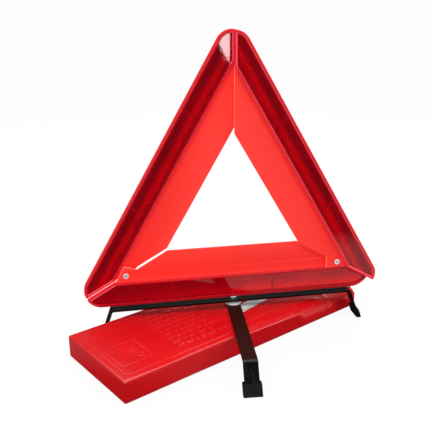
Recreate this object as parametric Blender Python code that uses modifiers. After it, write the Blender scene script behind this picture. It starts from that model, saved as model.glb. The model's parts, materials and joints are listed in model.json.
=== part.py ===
"""Folding roadside warning triangle with its stand and storage case.

Frame: metres, +Z up, ground at Z = 0, the triangle's faces look along -Y
(front) and +Y (back).  The origin is the middle of the footprint on the ground.
All sizes below are in mm; the helpers turn them into metres.

The triangle is an equilateral one with virtual 500 mm sides.  Each side is an
arm: a channel frame with a lens in each face and a fluorescent plate on its
inner edge.  The base arm is the middle layer, the left arm lies one layer
behind it and the right arm one layer in front, so both fold flat over it
about the two pivot rivets.  Two crossed steel strips make the stand.
"""
import math
from typing import NamedTuple

import bmesh
import bpy
from mathutils import Matrix, Vector

MM = 0.001
GAP = 0.3               # clearance between neighbouring pieces

# ---------------------------------------------------------------- triangle
SIDE = 500.0            # virtual side, before the corners are rounded
HALF = SIDE / 2
SIDE_R = 24.5           # corner radius of the left and right arms
BASE_R_LEFT, BASE_R_RIGHT = 26.0, 32.0  # corner radii of the base arm
ARM_T = 8.0             # thickness of an arm
PITCH = 8.4             # distance between the layers of arms
RIM = 3.4               # outer wall of the channel
RIM_IN = 34.6           # inner edge of the lens recess
CHANNEL_W = 38.8        # width of the channel
BAND = 85.0             # full width of an arm, lens and fluorescent plate
WEB_T = 1.6             # wall between the two lens recesses
END_WALL = 2.2          # wall that closes a recess at the mitre
MITRE_GAP = 0.25        # half the gap between two mitred ends
LENS_BACK = 1.1         # a lens's inner face, from the arm's mid plane
LENS_FACE = 3.1         # a lens's outer face, from the arm's mid plane
CORNER_STEPS = 10
PLATE_T = 2.4           # fluorescent plate
PLATE_TONGUE = 2.0      # how far the plate reaches into the channel
TONGUE_Z = CHANNEL_W - PLATE_TONGUE     # outer edge of the tongue
APEX_LAP = 4.2          # the left arm reaches past the middle at the apex
BASE_Z = 53.4           # height of the base arm's lower edge
RECESS_OVERRUN = 2.0    # a recess cutter reaches this far out of the arm
GROOVE_OVERRUN = 3.0    # a groove cutter reaches this far past the channel

# ---------------------------------------------------------------- pivots
PIVOT_X = 167.1         # pivot rivets, from the middle
PIVOT_Z = 47.85         # pivot rivets, above the base arm's lower edge
PIVOT_HOLE_R = 2.5
PIVOT_HOLE_L = 8.0      # length of the hole's cutter
RIVET_R = 2.2           # shank
RIVET_BORE = 1.2        # hollow end of a tubular rivet
RIVET_HEAD_R = 4.5
RIVET_HEAD_H = 1.3
RIVET_STEPS = 28
BUSH_R = 5.5
LUG_R = 10.0            # round lugs on the base and left plates
LUG_GAP = 0.2           # from a lug to the neighbouring channel
ROUND_LUG_Z = 58.5      # where a round lug meets the mitre
WIDE_LUG_Z = 57.2       # where the base plate's chamfered lug meets the mitre
WIDE_LUG_CHAMFER = [(-167.8, 62.4), (-170.4, 61.4)]     # x, z
SQUARE_LUG_X0, SQUARE_LUG_X1 = 149.5, 183.5     # ends of the right plate's lug
SQUARE_LUG_DROP = 0.1   # its corner, below the mitre line
SQUARE_LUG_GAP = 0.5    # its lower edge, from the base channel

# ---------------------------------------------------------------- apex
HOOK_END_X = APEX_LAP - MITRE_GAP + GAP         # just past the left arm's end
# x, z in the base arm's coordinates
HOOK_OUTLINE = [
    (HOOK_END_X, 374.5), (12.5, 374.5), (13.5, 375.5), (13.5, 379.5), (8.5, 379.5),
    (8.5, 385.5), (13.5, 385.5), (13.5, 389.5), (12.5, 390.5), (HOOK_END_X, 390.5)]
CATCH_OUTLINE = [
    (6.5, 372.0), (18.0, 372.0), (19.0, 373.0), (19.0, 392.0),
    (18.0, 393.0), (6.5, 393.0), (5.5, 392.0), (5.5, 373.0)]
HOOK_T = 3.0
HOOK_GAP = 0.2          # hook, from the plane of the left arm's front face
CATCH_GAP_FRONT = 0.15  # catch, from the right arm's back face
CATCH_GAP_BACK = 0.2    # catch, from the plane of the left arm's front face

# ---------------------------------------------------------------- stand
STRIP_W = 21.0
STRIP_T = 3.0
STRIP_BEVEL = 0.35
STRIP_HOLE_L = 12.0     # length of the centre hole's cutter
BEND_R = 3.0            # inside radius of the bends
BEND_STEPS = 6
CROSS_TURN = 3.7        # degrees the cross bar is turned from square
CAP_W, CAP_T, CAP_H = 26.5, 8.7, 15.0   # rubber foot
CAP_FLOOR = 3.0
CAP_CHAMFER = 0.8       # round the sole
CAP_BEVEL = 0.7
CAP_OVERRUN = 5.0       # the pocket's cutter reaches this far out of the foot
STRIP_END = CAP_FLOOR + 0.6             # height of the legs' lower ends
REST_X, REST_L, REST_W = 161.0, 20.0, 7.4
REST_BEVEL = 0.5


class Bar(NamedTuple):
    """Flat bar bent down at both ends."""
    name: str
    bend_x: float       # where it bends down
    foot_x: float       # outer face at the ground
    top: float          # top face, from the base arm's lower edge

    @property
    def height(self):
        return BASE_Z + self.top

    @property
    def lean(self):
        """Angle of the legs from the vertical."""
        return math.atan2(self.foot_x - self.bend_x, self.height)


LONG_BAR = Bar("long_leg_bar", bend_x=193.0, foot_x=210.6, top=-4.0)
CROSS_BAR = Bar("cross_leg_bar", bend_x=174.5, foot_x=200.6, top=-12.7)

# ------------------------------------------------------------ centre rivet
CENTRE_X = 12.499       # the rivet, from the footprint's middle
CENTRE_R = 2.0
CENTRE_HEAD_R = 2.4     # its upper head, inside the channel
CENTRE_HEAD_TOP = 5.0
CENTRE_FOOT_R = 5.0     # its lower head
CENTRE_STEPS = 32
SEAT_TOP = 5.63         # recess round the upper head
SEAT_FLOOR = RIM - 0.53
SEAT_BOTTOM = -4.1      # lower end of the recess's cutter
SEAT_STEPS = 24
SPRING_R = 5.7          # conical spring washer between arm and long bar
SPRING_EDGE = 0.9       # height of its rim
SPRING_NECK = 1.6       # radial width of its foot, from the rivet's shank
WASHER_R = 12.6         # flange of the washer between the two bars
WASHER_T = 2.0
WASHER_NECK_R = 3.6

# ---------------------------------------------------------------- case
CASE_L = 456.0
CASE_W = 159.0
CASE_H = 35.0
CASE_WALL = 1.6
CASE_END = 1.5                      # end walls
CASE_CX, CASE_CY = -19.7, -9.1      # middle of the case, from the centre rivet
CASE_ANGLE = 28.7                   # degrees from X
CASE_LIFT = 0.3                     # clearance under the case
CASE_EDGE_R = 4.0
CASE_EDGE_R_MIN = 0.8
CASE_CAP_L = 66.0                   # length of the pull-off end cap
CASE_HALF_L, CASE_HALF_W = CASE_L / 2, CASE_W / 2
SEAM_X = CASE_HALF_L - CASE_CAP_L   # seam with the end cap
SEAM_GAP = 0.15                     # half the gap at the seam
BODY_BEVEL, END_CAP_BEVEL = 2.5, 2.0
NECK_L = 34.0                       # neck inside the end cap
NECK_ROOT = 8.0                     # how far the neck starts inside the body
NECK_INSET = CASE_WALL + GAP
CAVITY_STOP = 10.0                  # the body's cavity ends this far short of the seam
MOUTH_ROOT = 12.0                   # the neck's bore starts this far short of the seam
MOUTH_OVERRUN = 5.0
END_CAP_OVERRUN = 2.0
SHOULDER_X0, SHOULDER_X1 = -41.0, -13.0   # where the sloped shoulders begin
SHOULDER_STEPS = 4
SHOULDER_W = 18.0                   # their width on the top
SHOULDER_H0, SHOULDER_H1 = 4.0, 11.0      # their depth, at the start and at the far end
SHOULDER_R_SHARE = 0.6              # share of the edge radius taken off their depth
SHOULDER_FLATNESS = 0.72            # 0 is a full curve, 1 is a flat slope
EDGE_STEPS, CURVE_STEPS = 4, 6      # of the lower edge and the upper curve
GRIPS_X = (179.0, 188.0, 197.0)     # grip grooves on each side of the end cap
GRIP_SIZE = (3.0, 1.8, 16.0)
GRIP_Z = 12.0
LABEL_X, LABEL_Y = 54.5, -14.0      # middle of the blank label on the case
LABEL_L, LABEL_W, LABEL_T = 84.0, 20.0, 0.3
LABEL_ANGLE = 8.7                   # degrees from the case's length

TAN30 = math.tan(math.radians(30.0))
COT30 = 1.0 / TAN30
SIN30 = math.sin(math.radians(30.0))
SIN60 = math.sin(math.radians(60.0))
ALONG_Y = (math.pi / 2, 0, 0)       # turns local Z to the front, -Y
SMOOTH_ANGLE = math.radians(30.0)


# ------------------------------------------------------------------- scene

def clear_scene():
    for ob in list(bpy.data.objects):
        bpy.data.objects.remove(ob, do_unlink=True)
    for collection in list(bpy.data.collections):
        bpy.data.collections.remove(collection)


def new_collection(name):
    collection = bpy.data.collections.new(name)
    bpy.context.scene.collection.children.link(collection)
    return collection


clear_scene()
PARTS = new_collection("warning_triangle")
CUTTERS = new_collection("cutters")


# --------------------------------------------------------------- materials

def material(name, rgb, roughness, metallic=0.0):
    mat = bpy.data.materials.new(name)
    mat.use_nodes = True
    shader = mat.node_tree.nodes["Principled BSDF"]
    shader.inputs["Base Color"].default_value = (*rgb, 1.0)
    shader.inputs["Roughness"].default_value = roughness
    shader.inputs["Metallic"].default_value = metallic
    mat.diffuse_color = (*rgb, 1.0)
    return mat


RED_FRAME = material("red_frame", rgb=(0.76, 0.02, 0.03), roughness=0.35)
RED_LENS = material("red_lens", rgb=(0.35, 0.0, 0.01), roughness=0.12)
FLUORESCENT = material("fluorescent_red", rgb=(1.0, 0.05, 0.03), roughness=0.45)
STEEL_BLACK = material("black_steel", rgb=(0.02, 0.018, 0.018), roughness=0.4)
STEEL_BRIGHT = material("bright_steel", rgb=(0.75, 0.76, 0.78), roughness=0.25, metallic=1.0)
RUBBER = material("black_rubber", rgb=(0.015, 0.015, 0.016), roughness=0.7)
BLACK_PLASTIC = material("black_plastic", rgb=(0.02, 0.02, 0.02), roughness=0.5)
RED_CASE = material("red_case", rgb=(0.72, 0.012, 0.02), roughness=0.35)
WHITE_PAPER = material("white_paper", rgb=(0.85, 0.85, 0.84), roughness=0.6)


# ----------------------------------------------------------------- helpers
# Sizes and locations in mm.  A piece without a material is a hidden cutter.

def place(ob, parent, loc, rot):
    ob.location = [value * MM for value in loc]
    ob.rotation_euler = rot
    ob.parent = parent


def empty(name, loc, rot=(0, 0, 0), parent=None):
    ob = bpy.data.objects.new(name, None)
    ob.empty_display_size = 0.02
    PARTS.objects.link(ob)
    place(ob, parent, loc, rot)
    return ob


def add_object(name, mesh, mat, parent, loc=(0, 0, 0), rot=(0, 0, 0)):
    ob = bpy.data.objects.new(name, mesh)
    (PARTS if mat else CUTTERS).objects.link(ob)
    place(ob, parent, loc, rot)
    if mat:
        mesh.materials.append(mat)
        mesh.shade_smooth()
        mesh.set_sharp_from_angle(angle=SMOOTH_ANGLE)
    else:
        ob.hide_render = True
        ob.display_type = "WIRE"
    return ob


def mesh_from(name, bm):
    mesh = bpy.data.meshes.new(name)
    bm.to_mesh(mesh)
    bm.free()
    return mesh


def outline_mesh(name, points, depth):
    """Solid from a flat outline in local X-Z, centred in local Y."""
    curve = bpy.data.curves.new(name, "CURVE")
    curve.dimensions = "2D"
    curve.fill_mode = "BOTH"
    curve.extrude = depth * MM / 2.0
    spline = curve.splines.new("POLY")
    spline.points.add(len(points) - 1)
    for spline_point, (x, z) in zip(spline.points, points):
        spline_point.co = (x * MM, z * MM, 0.0, 1.0)
    spline.use_cyclic_u = True
    ob = bpy.data.objects.new(name + "_curve", curve)
    CUTTERS.objects.link(ob)
    depsgraph = bpy.context.evaluated_depsgraph_get()
    mesh = bpy.data.meshes.new_from_object(ob.evaluated_get(depsgraph))
    mesh.name = name
    bpy.data.objects.remove(ob, do_unlink=True)
    bm = bmesh.new()
    bm.from_mesh(mesh)
    bmesh.ops.remove_doubles(bm, verts=bm.verts, dist=1e-6)
    bmesh.ops.transform(bm, matrix=Matrix.Rotation(math.pi / 2, 4, "X"), verts=bm.verts)
    bmesh.ops.recalc_face_normals(bm, faces=bm.faces)
    bm.to_mesh(mesh)
    bm.free()
    return mesh


def outline(name, points, depth, mat, parent, y=0.0):
    return add_object(name, outline_mesh(name, points, depth), mat, parent, (0, y, 0))


def box(name, size, mat, parent, loc, rot=(0, 0, 0)):
    bm = bmesh.new()
    bmesh.ops.create_cube(bm, size=1.0)
    bmesh.ops.scale(bm, vec=Vector(size) * MM, verts=bm.verts)
    return add_object(name, mesh_from(name, bm), mat, parent, loc, rot)


def hole_cutter(name, radius, length, parent, loc, rot=(0, 0, 0)):
    """Cylinder along local Z, centred."""
    bm = bmesh.new()
    bmesh.ops.create_cone(bm, cap_ends=True, segments=32, radius1=radius * MM,
                          radius2=radius * MM, depth=length * MM)
    return add_object(name, mesh_from(name, bm), None, parent, loc, rot)


def turned(name, profile, mat, steps, loc=(0, 0, 0), rot=(0, 0, 0)):
    """Piece of the base frame turned about local Z from a profile of
    (radius, z); a profile that starts off the axis is closed into a ring."""
    bm = bmesh.new()
    verts = [bm.verts.new((radius * MM, 0.0, z * MM)) for radius, z in profile]
    for start, end in zip(verts, verts[1:]):
        bm.edges.new((start, end))
    if profile[0][0] > 0:
        bm.edges.new((verts[-1], verts[0]))
    ob = add_object(name, mesh_from(name, bm), mat, BASE, loc, rot)
    screw = ob.modifiers.new("screw", "SCREW")
    screw.axis = "Z"
    screw.steps = steps
    screw.render_steps = steps
    screw.use_merge_vertices = True
    screw.merge_threshold = 1e-6
    screw.use_smooth_shade = True
    return ob


def boolean(ob, cutter, operation="DIFFERENCE", solver="EXACT"):
    modifier = ob.modifiers.new(operation.lower() + "_" + cutter.name, "BOOLEAN")
    modifier.operation = operation
    modifier.object = cutter
    modifier.solver = solver


def bevel(ob, width, segments, angle):
    modifier = ob.modifiers.new("bevel", "BEVEL")
    modifier.width = width * MM
    modifier.segments = segments
    modifier.limit_method = "ANGLE"
    modifier.angle_limit = math.radians(angle)
    modifier.use_clamp_overlap = True


def arc(centre_x, centre_z, radius, start, end, steps):
    """Points of an arc between two angles in degrees."""
    angles = [math.radians(start + (end - start) * i / steps) for i in range(steps + 1)]
    return [(centre_x + radius * math.cos(angle), centre_z + radius * math.sin(angle))
            for angle in angles]


def shift(points, origin_x, origin_z):
    """The points, measured from another origin."""
    return [(x - origin_x, z - origin_z) for x, z in points]


def mirror(points):
    return [(-x, z) for x, z in points]


# ------------------------------------------------------------------ frames
ROOT = empty("assembly", (CENTRE_X, 0, 0))
BASE = empty("base_frame", (0, 0, BASE_Z), parent=ROOT)
LEFT = empty("left_pivot", (-PIVOT_X, 0, BASE_Z + PIVOT_Z), (0, math.radians(120.0), 0), ROOT)
RIGHT = empty("right_pivot", (PIVOT_X, 0, BASE_Z + PIVOT_Z), (0, math.radians(-120.0), 0), ROOT)
CROSS = empty("cross_pivot", (0, 0, BASE_Z), (0, 0, math.radians(90.0 - CROSS_TURN)), ROOT)
CASE = empty("case_frame", (CASE_CX, CASE_CY, CASE_LIFT), (0, 0, math.radians(CASE_ANGLE)), ROOT)


# -------------------------------------------------------------------- arms
# Arm coordinates: x along the arm, z inward from its outer edge.  The mitre
# lines run inward at 30 degrees from the virtual corners (+-HALF, 0).  A side
# is -1 for the arm's -x end and 1 for its +x end.

def mitre_point(z, side, inset=MITRE_GAP):
    """Point at z on a mitred end that is moved back by inset."""
    return (side * (HALF - z * COT30 - inset / SIN30), z)


def neighbour_edge(z, side):
    """Point at z just clear of the neighbouring arm's channel."""
    return (side * (HALF - (CHANNEL_W + LUG_GAP) / SIN60 - z * TAN30), z)


def corner_arc(inset_z, inset_end, corner_radius):
    """Right-hand end, from the outer edge round the corner to the mitre.  The
    arc's centre lies on the mitre line, which gives the angle where it ends."""
    radius = corner_radius - inset_z
    end = 60.0 - math.degrees(math.acos(-inset_end / radius))
    return arc(HALF - corner_radius * COT30, corner_radius, radius, -90.0, end, CORNER_STEPS)


def band_outline(z0, z1, end_inset, lap, left_radius, right_radius):
    """Closed outline of a band from z0 to z1, mitred at both ends; its left
    end reaches out by lap."""
    right = corner_arc(z0, end_inset, right_radius)
    left = mirror(corner_arc(z0, end_inset - lap, left_radius))
    return (right + [mitre_point(z1, 1, end_inset), mitre_point(z1, -1, end_inset - lap)]
            + left[::-1])


def from_base(points, turn):
    """From base-arm coordinates to those of the arm turned by turn degrees."""
    angle = math.radians(-turn)
    centre_z = HALF * TAN30
    return [(x * math.cos(angle) + (z - centre_z) * math.sin(angle),
             centre_z - x * math.sin(angle) + (z - centre_z) * math.cos(angle))
            for x, z in points]


def make_arm(name, parent, origin, y, plate_points, pivots_x, lap=0.0,
             left_radius=SIDE_R, right_radius=SIDE_R):
    """Channel, two lenses and plate of one arm.  The parent's place in arm
    coordinates is origin; y is the arm's mid plane in the parent's frame."""
    def band(z0, z1, end_inset):
        return shift(band_outline(z0, z1, end_inset, lap, left_radius, right_radius), *origin)

    channel = outline(name + "_channel", band(0.0, CHANNEL_W, MITRE_GAP), ARM_T,
                      RED_FRAME, parent, y)
    lenses = []
    end_inset = MITRE_GAP + END_WALL
    recess_depth = (ARM_T - WEB_T) / 2 + RECESS_OVERRUN
    for face, sign in (("front", -1), ("back", 1)):
        recess = outline(name + "_pocket_" + face, band(RIM, RIM_IN, end_inset), recess_depth,
                         None, parent, y + sign * (WEB_T + recess_depth) / 2)
        boolean(channel, recess, solver="MANIFOLD")
        lenses.append(outline(
            name + "_lens_" + face, band(RIM + GAP, RIM_IN - GAP, end_inset + GAP),
            LENS_FACE - LENS_BACK, RED_LENS, parent, y + sign * (LENS_FACE + LENS_BACK) / 2))

    # groove for the plate's tongue along the channel's inner edge
    z0, z1 = TONGUE_Z - GAP, CHANNEL_W + GROOVE_OVERRUN
    groove_points = [(-HALF, z0), (HALF, z0), (HALF, z1), (-HALF, z1)]
    groove = outline(name + "_groove", shift(groove_points, *origin), PLATE_T + 2 * GAP,
                     None, parent, y)
    boolean(channel, groove, solver="MANIFOLD")

    plate = outline(name + "_plate", shift(plate_points, *origin), PLATE_T,
                    FLUORESCENT, parent, y)
    for i, pivot_x in enumerate(pivots_x):
        loc = (pivot_x - origin[0], y, PIVOT_Z - origin[1])
        boolean(plate, hole_cutter("%s_hole_%d" % (plate.name, i), PIVOT_HOLE_R, PIVOT_HOLE_L,
                                   parent, loc, ALONG_Y))
    return channel, lenses


def round_lug_end():
    """Plate outline at a +x end with a round lug about the pivot."""
    return [neighbour_edge(TONGUE_Z, 1), neighbour_edge(CHANNEL_W, 1),
            *arc(PIVOT_X, PIVOT_Z, LUG_R, -30, 130, 8),
            mitre_point(ROUND_LUG_Z, 1), mitre_point(BAND, 1)]


def make_base_arm():
    """Its plate has a wide chamfered lug at the left end, in front of the left
    arm, and a round lug at the right end, behind the right arm."""
    plate = [neighbour_edge(TONGUE_Z, -1), *round_lug_end(),
             mitre_point(BAND, -1), mitre_point(WIDE_LUG_Z, -1), *WIDE_LUG_CHAMFER,
             neighbour_edge(CHANNEL_W, -1)]
    return make_arm("base", BASE, (0.0, 0.0), 0.0, plate, (-PIVOT_X, PIVOT_X),
                    left_radius=BASE_R_LEFT, right_radius=BASE_R_RIGHT)


def make_left_arm():
    """Its pivot end is the +x end, its apex end the -x end."""
    apex_inset = MITRE_GAP - APEX_LAP
    plate = [mitre_point(TONGUE_Z, -1, apex_inset), *round_lug_end(),
             mitre_point(BAND, -1, apex_inset)]
    make_arm("left", LEFT, (PIVOT_X, PIVOT_Z), PITCH, plate, (PIVOT_X,), lap=APEX_LAP)


def make_right_arm():
    """Its pivot end is the -x end; its lug, in front of the base plate, ends
    square to the base arm."""
    lug_z = CHANNEL_W + SQUARE_LUG_GAP
    lug = [(SQUARE_LUG_X0, (HALF - SQUARE_LUG_X0) * TAN30 - SQUARE_LUG_DROP),
           (SQUARE_LUG_X0, lug_z), (SQUARE_LUG_X1, lug_z)]
    plate = [mitre_point(TONGUE_Z, -1), mitre_point(TONGUE_Z, 1),
             mitre_point(BAND, 1), mitre_point(BAND, -1), *from_base(lug, -120.0)]
    make_arm("right", RIGHT, (-PIVOT_X, PIVOT_Z), -PITCH, plate, (-PIVOT_X,))


# ------------------------------------------------------------ pivot rivets

def rivet_profile():
    """Tubular rivet: hollow head at the +z end, plain head at the other."""
    grip = (PITCH + PLATE_T) / 2 + GAP
    radius, height = RIVET_HEAD_R, RIVET_HEAD_H
    return [
        (0.0, grip + 0.1 * height), (RIVET_BORE, grip + 0.1 * height),
        (RIVET_BORE + 0.5, grip + 0.9 * height), (RIVET_BORE + 1.0, grip + height),
        (radius - 1.2, grip + 0.85 * height), (radius, grip + 0.25 * height),
        (radius, grip), (RIVET_R, grip),
        (RIVET_R, -grip), (radius, -grip), (radius, -grip - 0.3 * height),
        (radius - 1.3, -grip - 0.9 * height), (0.0, -grip - height)]


def make_pivots():
    """A rivet at each pivot, with a bush between the two plates it joins."""
    bush_top = (PITCH - PLATE_T) / 2 - GAP
    bore = RIVET_R + GAP
    bush_profile = [(bore, bush_top), (BUSH_R, bush_top), (BUSH_R, -bush_top), (bore, -bush_top)]
    for side, sign in (("left", -1), ("right", 1)):
        loc = (sign * PIVOT_X, -sign * PITCH / 2, PIVOT_Z)
        turned("pivot_rivet_" + side, rivet_profile(), STEEL_BRIGHT, RIVET_STEPS, loc, ALONG_Y)
        turned("pivot_bush_" + side, bush_profile, BLACK_PLASTIC, RIVET_STEPS, loc, ALONG_Y)


# ---------------------------------------------------------- apex fastening
# Both pieces are hidden behind the right arm.

def make_apex_hook():
    """Hook at the left arm's end, in that arm's own layer."""
    points = shift(from_base(HOOK_OUTLINE, 120.0), PIVOT_X, PIVOT_Z)
    y = PITCH - ARM_T / 2 + HOOK_GAP + HOOK_T / 2
    outline("apex_hook", points, HOOK_T, RED_FRAME, LEFT, y)


def make_apex_catch():
    """Catch on the right arm's back that fills the layer between."""
    points = shift(from_base(CATCH_OUTLINE, -120.0), -PIVOT_X, PIVOT_Z)
    thickness = 2 * PITCH - ARM_T - CATCH_GAP_FRONT - CATCH_GAP_BACK
    y = -PITCH + ARM_T / 2 + CATCH_GAP_FRONT + thickness / 2
    outline("apex_catch", points, thickness, RED_FRAME, RIGHT, y)


# ------------------------------------------------------------------- stand

def strip_edge(bar, depth):
    """Bend and leg at the +x end, at a depth below the bar's outer face;
    heights above the ground."""
    radius = BEND_R + STRIP_T - depth
    tangent = math.tan((math.pi / 2 - bar.lean) / 2)
    points = arc(bar.bend_x - depth * tangent - radius * tangent, bar.height - depth - radius,
                 radius, 90.0, math.degrees(bar.lean), BEND_STEPS)
    x, z = points[-1]
    return points + [(x + (z - STRIP_END) * math.tan(bar.lean), STRIP_END)]


def make_strip(bar, parent):
    outer, inner = strip_edge(bar, 0.0), strip_edge(bar, STRIP_T)
    points = mirror(outer)[::-1] + outer + inner[::-1] + mirror(inner)
    strip = outline(bar.name, shift(points, 0.0, BASE_Z), STRIP_W, STEEL_BLACK, parent)
    hole = hole_cutter(bar.name + "_hole", CENTRE_R + GAP, STRIP_HOLE_L, parent,
                       (0, 0, bar.top - STRIP_T / 2))
    bevel(strip, STRIP_BEVEL, segments=1, angle=60)
    boolean(strip, hole)


def make_foot(name, bar, parent, sign):
    """Rubber cap on a leg's end: a sleeve that leans with the leg, its
    underside flat on the ground."""
    slope = math.tan(bar.lean)
    leg_t = STRIP_T / math.cos(bar.lean)                # leg, measured level

    def placed(points):
        return shift([(sign * x, z) for x, z in points], 0.0, BASE_Z)

    def outer(z):
        return bar.foot_x - z * slope + (CAP_T - leg_t) / 2

    def inner(z):
        return outer(z) - CAP_T

    points = [(outer(0.0) - CAP_CHAMFER, 0.0), (outer(CAP_CHAMFER), CAP_CHAMFER),
              (outer(CAP_H), CAP_H), (inner(CAP_H), CAP_H),
              (inner(CAP_CHAMFER), CAP_CHAMFER), (inner(0.0) + CAP_CHAMFER, 0.0)]
    foot = outline(name, placed(points), CAP_W, RUBBER, parent)

    z0, z1 = CAP_FLOOR, CAP_H + CAP_OVERRUN
    x0, x1 = [bar.foot_x + GAP - z * slope for z in (z0, z1)]
    pocket_t = leg_t + 2 * GAP
    pocket_points = [(x0, z0), (x1, z1), (x1 - pocket_t, z1), (x0 - pocket_t, z0)]
    bevel(foot, CAP_BEVEL, segments=1, angle=60)
    boolean(foot, outline(name + "_pocket", placed(pocket_points), STRIP_W + 2 * GAP,
                          None, parent))


def make_stand():
    for bar, parent, feet in ((LONG_BAR, BASE, ("left", "right")),
                              (CROSS_BAR, CROSS, ("front", "rear"))):
        make_strip(bar, parent)
        for foot, sign in zip(feet, (-1, 1)):
            make_foot("rubber_foot_" + foot, bar, parent, sign)


def make_leg_rests():
    """Rests that keep the long bar level under the base arm."""
    for side, sign in (("left", -1), ("right", 1)):
        rest = box("leg_rest_" + side, (REST_L, REST_W, -LONG_BAR.top - 2 * GAP),
                   BLACK_PLASTIC, BASE, (sign * REST_X, 0, LONG_BAR.top / 2))
        bevel(rest, REST_BEVEL, segments=2, angle=50)


# ------------------------------------------------------------ centre rivet

def make_centre_rivet():
    """Upper head inside the channel, lower head under the cross bar."""
    head_z = RIM + GAP
    foot_z = CROSS_BAR.top - STRIP_T - GAP
    profile = [
        (0.0, CENTRE_HEAD_TOP), (CENTRE_HEAD_R - 0.4, CENTRE_HEAD_TOP),
        (CENTRE_HEAD_R, CENTRE_HEAD_TOP - 0.4), (CENTRE_HEAD_R, head_z),
        (CENTRE_R, head_z), (CENTRE_R, foot_z), (CENTRE_FOOT_R, foot_z),
        (CENTRE_FOOT_R, foot_z - 0.4), (CENTRE_FOOT_R - 1.4, foot_z - 0.85), (0.0, foot_z - 0.9)]
    turned("centre_rivet", profile, STEEL_BRIGHT, CENTRE_STEPS)


def cut_centre_seat(channel, lenses):
    """Room for the rivet's shank and upper head in the base arm."""
    head_r, bore = CENTRE_HEAD_R + GAP, CENTRE_R + GAP
    profile = [(0.0, SEAT_TOP), (head_r, SEAT_TOP), (head_r, SEAT_FLOOR),
               (bore, SEAT_FLOOR), (bore, SEAT_BOTTOM), (0.0, SEAT_BOTTOM)]
    seat = turned("centre_seat", profile, None, SEAT_STEPS)
    boolean(channel, seat, solver="MANIFOLD")
    for lens in lenses:
        boolean(lens, seat)


def make_centre_spring():
    """Conical spring washer between the base arm and the long bar."""
    bore, top, bottom = CENTRE_R + GAP, -GAP, LONG_BAR.top + GAP
    profile = [(bore, top), (SPRING_R, top), (SPRING_R, top - SPRING_EDGE),
               (CENTRE_R + SPRING_NECK, bottom), (bore, bottom)]
    turned("centre_spring", profile, STEEL_BRIGHT, CENTRE_STEPS)


def make_centre_washer():
    """Flanged spacer washer between the two bars."""
    bore, top, bottom = CENTRE_R + GAP, LONG_BAR.top - STRIP_T - GAP, CROSS_BAR.top + GAP
    profile = [(bore, top), (WASHER_NECK_R, top), (WASHER_NECK_R, bottom + WASHER_T),
               (WASHER_R, bottom + WASHER_T), (WASHER_R, bottom), (bore, bottom)]
    turned("centre_washer", profile, STEEL_BRIGHT, CENTRE_STEPS)


# -------------------------------------------------------------------- case

def ease(t):
    t = min(max(t, 0.0), 1.0)
    return t * t * (3.0 - 2.0 * t)


def section(x, inset):
    """The case's cross-section (y, z) at length x, moved inward by inset: a
    plain rounded box at the closed end, with sloped shoulders further on."""
    onset = ease((x - SHOULDER_X0) / (SHOULDER_X1 - SHOULDER_X0))
    run = min(max((x - SHOULDER_X1) / (CASE_HALF_L - SHOULDER_X1), 0.0), 1.0)
    side_y, top_z = CASE_HALF_W - inset, CASE_H - inset
    radius = max(CASE_EDGE_R - inset, CASE_EDGE_R_MIN)
    depth = SHOULDER_H0 + (SHOULDER_H1 - SHOULDER_H0) * run
    drop = radius + (depth - radius * SHOULDER_R_SHARE) * onset
    width = radius + (SHOULDER_W - radius) * onset

    # quadratic curve from the side to the top; its middle point is drawn in
    # from the square corner as the shoulder grows
    draw_in = SHOULDER_FLATNESS * onset
    start = (side_y, top_z - drop)
    middle = (side_y - width / 2 * draw_in, top_z - drop / 2 * draw_in)
    end = (side_y - width, top_z)
    points = arc(side_y - radius, inset + radius, radius, -90, 0, EDGE_STEPS)
    for i in range(CURVE_STEPS + 1):
        t = i / CURVE_STEPS
        points.append(tuple((1 - t) ** 2 * a + 2 * t * (1 - t) * b + t * t * c
                            for a, b, c in zip(start, middle, end)))
    return points + mirror(points[::-1])


def stations(x0, x1):
    """Lengths from x0 to x1, closer together where the shoulders begin."""
    inner = [SHOULDER_X0 + (SHOULDER_X1 - SHOULDER_X0) * i / SHOULDER_STEPS
             for i in range(SHOULDER_STEPS + 1)]
    return [x0] + [x for x in inner if x0 + 1 < x < x1 - 1] + [x1]


def loft(name, x0, x1, inset, mat=None):
    """Closed solid of the case's section from x0 to x1."""
    bm = bmesh.new()
    rings = [[bm.verts.new((x * MM, y * MM, z * MM)) for y, z in section(x, inset)]
             for x in stations(x0, x1)]
    for ring, following in zip(rings, rings[1:]):
        for i in range(len(ring)):
            j = (i + 1) % len(ring)
            bm.faces.new((ring[i], following[i], following[j], ring[j]))
    bm.faces.new(rings[0])
    bm.faces.new(rings[-1][::-1])
    bmesh.ops.recalc_face_normals(bm, faces=bm.faces)
    return add_object(name, mesh_from(name, bm), mat, CASE)


def make_case_body():
    """Hollow body with a neck that reaches into the end cap."""
    body = loft("case_body", -CASE_HALF_L, SEAM_X - SEAM_GAP, 0.0, RED_CASE)
    bevel(body, BODY_BEVEL, segments=2, angle=50)
    neck = loft("case_neck", SEAM_X - NECK_ROOT, SEAM_X + NECK_L, NECK_INSET)
    boolean(body, neck, "UNION", "MANIFOLD")
    cavity = loft("case_cavity", -CASE_HALF_L + CASE_END, SEAM_X - CAVITY_STOP, CASE_WALL)
    boolean(body, cavity, solver="MANIFOLD")
    mouth = loft("case_mouth", SEAM_X - MOUTH_ROOT, SEAM_X + NECK_L + MOUTH_OVERRUN,
                 NECK_INSET + CASE_WALL)
    boolean(body, mouth, solver="MANIFOLD")


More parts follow.
